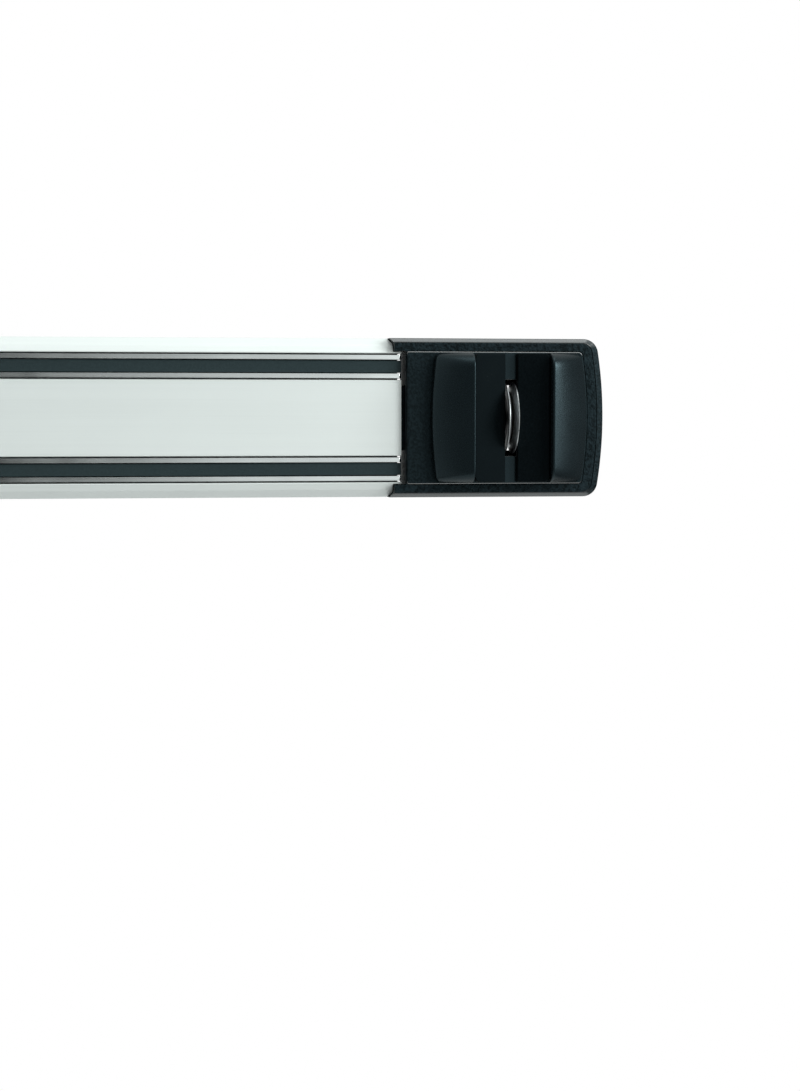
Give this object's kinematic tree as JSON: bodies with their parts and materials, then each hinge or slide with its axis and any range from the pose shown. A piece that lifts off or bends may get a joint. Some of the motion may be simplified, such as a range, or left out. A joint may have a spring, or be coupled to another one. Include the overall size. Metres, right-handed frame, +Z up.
{
  "type": "magnetic knife rack",
  "caption": "Wall-mounted magnetic knife bar: aluminium profile with steel pole rails and, at its right end, a black pull-through knife sharpener with turning wheels.",
  "frame": {"origin": "middle of the bar's back face, on the wall", "axes": "+X along the bar towards the sharpener, +Y into the wall (the rack faces -Y), +Z up"},
  "size_m": [0.48, 0.0298, 0.06],
  "materials": {
    "bar_aluminium": "satin, drawn along the bar",
    "rail_steel": "fine-ground, drawn along the bar",
    "filler": "dark grey, matt",
    "ferrite": "sintered ferrite, dark grey",
    "textured_black": "black with a moulded grain",
    "smooth_black": "black, smooth, half gloss",
    "matt_black": "black, fine matt",
    "ground_steel": "hardened and cross-ground",
    "zinc_steel": "bright zinc plate"
  },
  "bodies": {
    "rack": {"bar_profile": "bar_aluminium", "upper_outer_pole_rail": "rail_steel", "upper_inner_pole_rail": "rail_steel", "upper_filler_strip": "filler", "upper_magnet_1": "ferrite", "upper_magnet_2": "ferrite", "upper_magnet_3": "ferrite", "upper_magnet_4": "ferrite", "upper_magnet_5": "ferrite", "upper_magnet_6": "ferrite", "upper_magnet_7": "ferrite", "lower_outer_pole_rail": "rail_steel", "lower_inner_pole_rail": "rail_steel", "lower_filler_strip": "filler", "lower_magnet_1": "ferrite", "lower_magnet_2": "ferrite", "lower_magnet_3": "ferrite", "lower_magnet_4": "ferrite", "lower_magnet_5": "ferrite", "lower_magnet_6": "ferrite", "lower_magnet_7": "ferrite", "left_end_cap": "textured_black", "left_cap_plate": "textured_black", "left_cap_screw_upper": "zinc_steel", "left_cap_screw_lower": "zinc_steel", "sharpener_housing": "textured_black", "sharpener_face_plate": "textured_black", "sharpener_cap": "smooth_black", "sharpener_back_plate": "smooth_black", "left_blade_guide": "matt_black", "right_blade_guide": "matt_black", "left_wheel_spacer": "smooth_black", "right_wheel_spacer": "smooth_black", "wheel_axle": "zinc_steel", "sharpener_screw_1": "zinc_steel", "sharpener_screw_2": "zinc_steel", "sharpener_screw_3": "zinc_steel", "sharpener_screw_4": "zinc_steel", "housing_screw_upper": "zinc_steel", "housing_screw_lower": "zinc_steel"},
    "left_wheel": {"left_sharpening_wheel": "ground_steel"},
    "right_wheel": {"right_sharpening_wheel": "ground_steel"}
  },
  "joints": [
    {"name": "left_wheel_spin", "type": "hinge", "parent": "rack", "child": "left_wheel", "pos_m": [0.2027, -0.0158, 0], "axis": [1, 0, 0], "continuous": true},
    {"name": "right_wheel_spin", "type": "hinge", "parent": "rack", "child": "right_wheel", "pos_m": [0.2027, -0.0158, 0], "axis": [1, 0, 0], "continuous": true}
  ]
}
